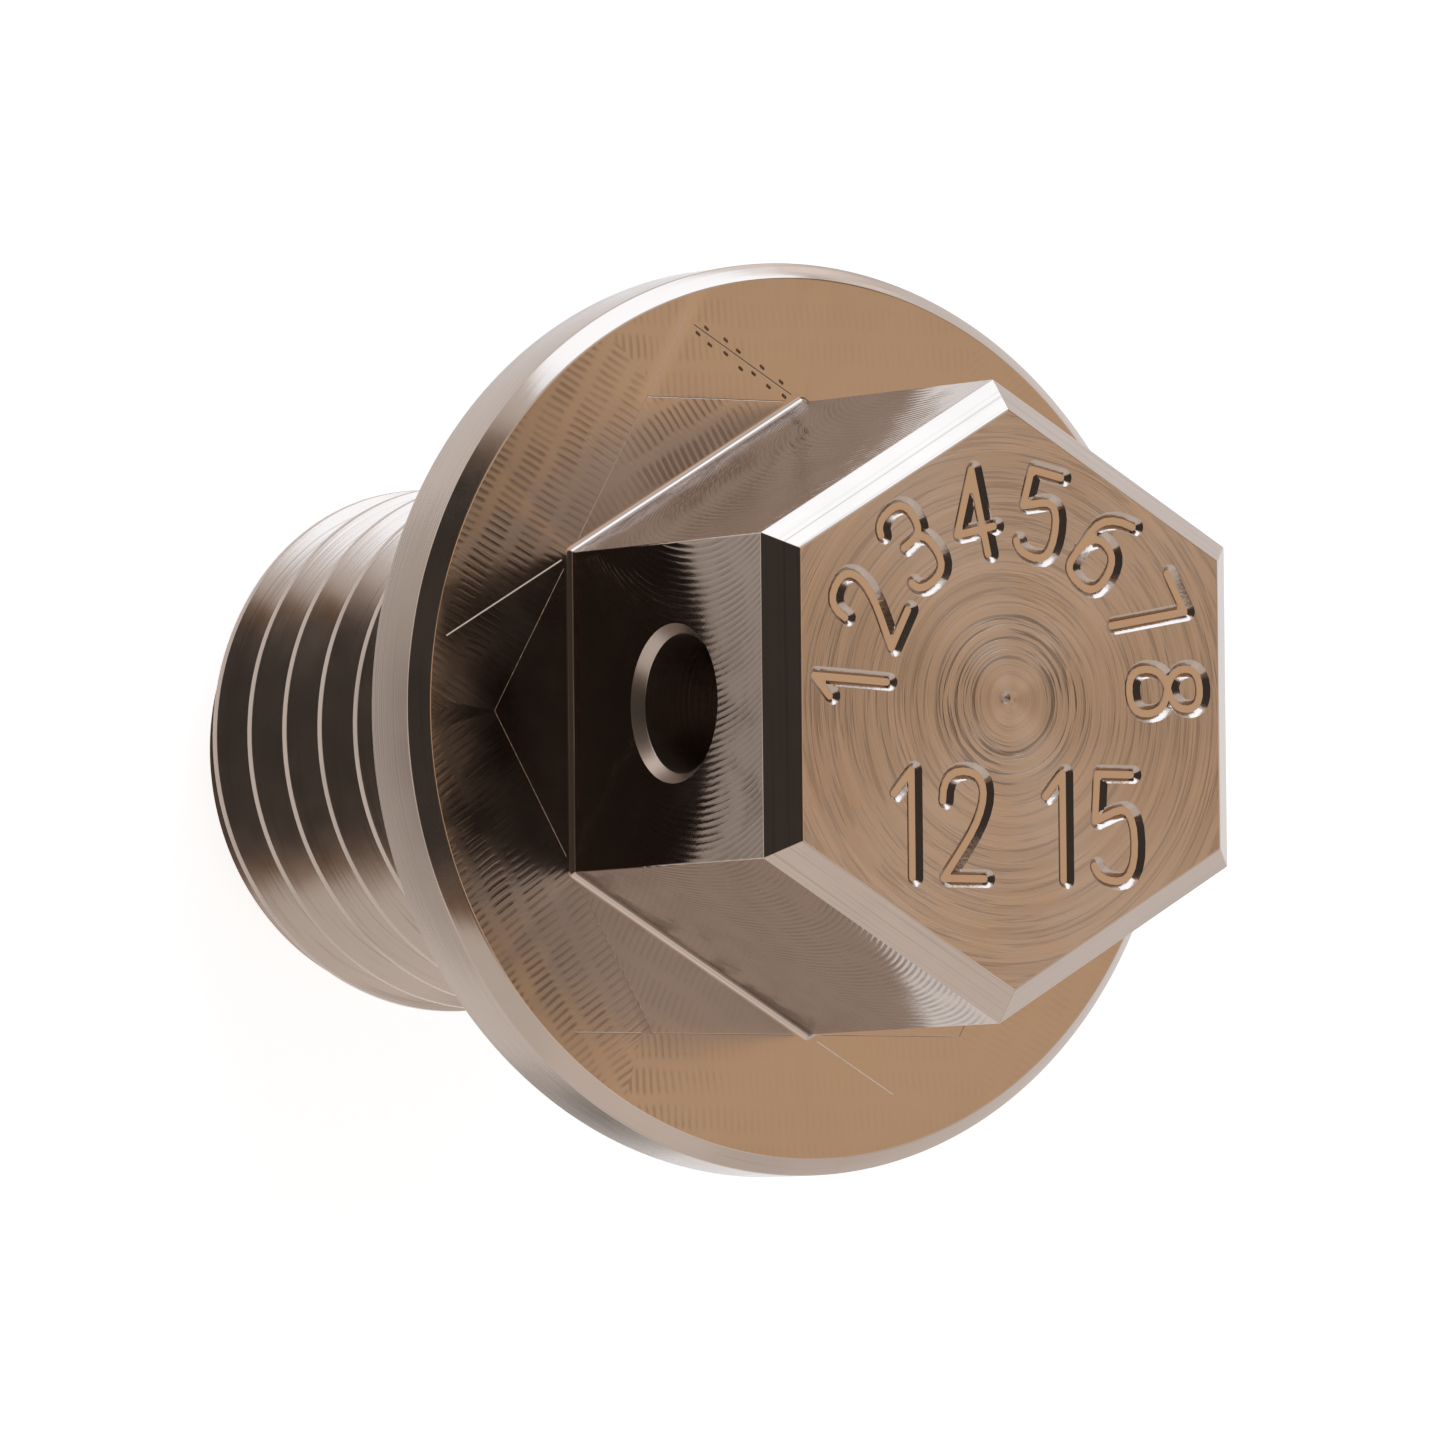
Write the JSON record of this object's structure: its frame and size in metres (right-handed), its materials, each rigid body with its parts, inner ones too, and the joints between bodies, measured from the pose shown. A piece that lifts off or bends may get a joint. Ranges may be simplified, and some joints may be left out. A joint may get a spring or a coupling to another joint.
{
  "type": "oil drain plug",
  "caption": "Oil drain plug: a hexagon head with a cross-drilled locking-wire hole, a round flange and a metric threaded shank with a chamfered tip, in one piece.",
  "frame": {"origin": "middle of the flat threaded tip, which the plug stands on", "axes": "+Z along the plug's axis from the tip to the face of the hexagon, X along the locking-wire hole, so the drilled flats face -X and +X and two corners of the hexagon lie on Y"},
  "size_m": [0.02, 0.02, 0.025],
  "materials": {
    "titanium": "turned and milled, bare"
  },
  "bodies": {
    "root": {"drain_plug": "titanium"}
  },
  "joints": []
}
